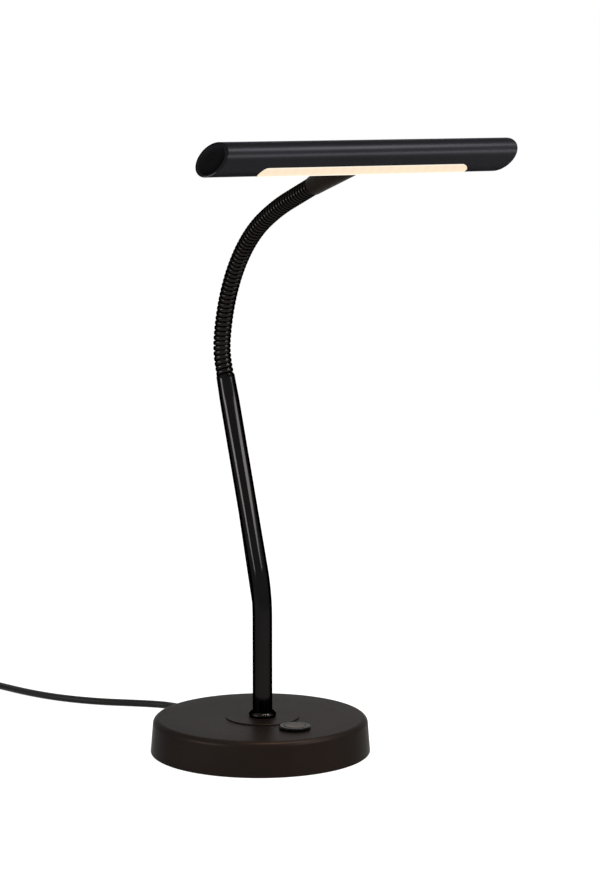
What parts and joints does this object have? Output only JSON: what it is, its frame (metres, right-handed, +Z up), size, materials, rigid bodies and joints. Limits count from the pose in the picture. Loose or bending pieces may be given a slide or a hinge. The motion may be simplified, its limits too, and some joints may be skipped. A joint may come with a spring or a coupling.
{
  "type": "piano lamp",
  "caption": "Slim tube lamp on a bendable ribbed neck, over a bent stem and a heavy round base with a push switch in its top.",
  "frame": {"origin": "centre of the foot pad's underside, on the table", "axes": "+X along the lamp tube, -Y the side that the lamp reaches over, where the switch is, +Z up"},
  "size_m": [0.3403, 0.5479, 0.4913],
  "materials": {
    "cover_paint": "satin brown-black paint",
    "weight_iron": "rough casting",
    "bottom_steel": "black, matt",
    "zinc_steel": "zinc plated",
    "foot_rubber": "matt foam rubber",
    "stem_paint": "gloss black paint",
    "plate_plastic": "black, polished",
    "collar_plastic": "black, polished",
    "switch_black": "black, semi-gloss",
    "switch_grey": "mid grey",
    "block_plastic": "black moulding",
    "board_green": "circuit board",
    "component_plastic": "moulded parts",
    "clamp_plastic": "natural nylon",
    "lead_rubber": "black sheath",
    "wire_sheath": "grey sheath",
    "hose_black": "black, semi-gloss",
    "sleeve_black": "black, semi-gloss",
    "lamp_alloy": "dark grey anodised, satin",
    "cap_plastic": "black",
    "diffuser_opal": "warm opal, lit",
    "carrier_alloy": "mill finish",
    "led_white": "white solder mask",
    "led_phosphor": "yellow phosphor",
    "nipple_steel": "zinc plated thread",
    "pin_metal": "nickel plated",
    "plug_plastic": "black moulding"
  },
  "bodies": {
    "base": {"base_cover": "cover_paint", "base_weight": "weight_iron", "bottom_plate": "bottom_steel", "bottom_screws": "zinc_steel", "foot_pad": "foot_rubber", "stem_plate": "plate_plastic", "stem_collar": "collar_plastic", "stem_tube": "stem_paint", "stem_insert": "zinc_steel", "stem_nipple": "nipple_steel", "stem_washer": "zinc_steel", "stem_nut": "zinc_steel", "switch_bezel": "switch_black", "switch_block": "block_plastic", "switch_nut": "block_plastic", "driver_board": "board_green", "board_spacers": "clamp_plastic", "driver_components": "component_plastic", "lead_clamp": "clamp_plastic", "inside_lead": "lead_rubber", "stem_wire": "wire_sheath", "hose_root": "hose_black", "strain_relief": "lead_rubber", "mains_lead": "lead_rubber", "plug_lead": "lead_rubber", "lead_coil": "lead_rubber", "plug_body": "plug_plastic", "plug_pins": "pin_metal"},
    "switch_cap": {"switch_cap": "switch_grey"},
    "hose_link_1": {"hose_link_1": "hose_black"},
    "hose_link_2": {"hose_link_2": "hose_black"},
    "hose_link_3": {"hose_link_3": "hose_black"},
    "hose_link_4": {"hose_link_4": "hose_black"},
    "hose_link_5": {"hose_link_5": "hose_black"},
    "head": {"hose_tip": "hose_black", "neck_sleeve": "sleeve_black", "grub_screw": "zinc_steel", "head_nipple": "nipple_steel", "saddle_washer": "zinc_steel", "head_nut": "zinc_steel", "lamp_tube": "lamp_alloy", "end_cap_left": "cap_plastic", "end_cap_right": "cap_plastic", "diffuser": "diffuser_opal", "led_carrier": "carrier_alloy", "led_board": "led_white", "led_chips": "led_phosphor"}
  },
  "joints": [
    {"name": "switch_press", "type": "slide", "parent": "base", "child": "switch_cap", "axis": [0, 0, -1], "range_m": [0, 0.0015], "stiffness_N_per_m": 400},
    {"name": "hose_bend_1", "type": "hinge", "parent": "base", "child": "hose_link_1", "pos_m": [0, 0.06133, 0.31355], "axis": [1, 0, 0], "range_deg": [-20, 20]},
    {"name": "hose_bend_2", "type": "hinge", "parent": "hose_link_1", "child": "hose_link_2", "pos_m": [0, 0.05488, 0.35363], "axis": [1, 0, 0], "range_deg": [-20, 20]},
    {"name": "hose_sway_1", "type": "hinge", "parent": "hose_link_2", "child": "hose_link_3", "pos_m": [0, 0.03522, 0.38942], "axis": [0, -0.7925, -0.6099], "range_deg": [-20, 20]},
    {"name": "hose_bend_3", "type": "hinge", "parent": "hose_link_3", "child": "hose_link_4", "pos_m": [0, 0.00565, 0.41759], "axis": [1, 0, 0], "range_deg": [-20, 20]},
    {"name": "hose_sway_2", "type": "hinge", "parent": "hose_link_4", "child": "hose_link_5", "pos_m": [0, -0.03059, 0.43661], "axis": [0, -0.3866, -0.9222], "range_deg": [-20, 20]},
    {"name": "hose_bend_4", "type": "hinge", "parent": "hose_link_5", "child": "head", "pos_m": [0, -0.06914, 0.45055], "axis": [1, 0, 0], "range_deg": [-20, 20]}
  ]
}
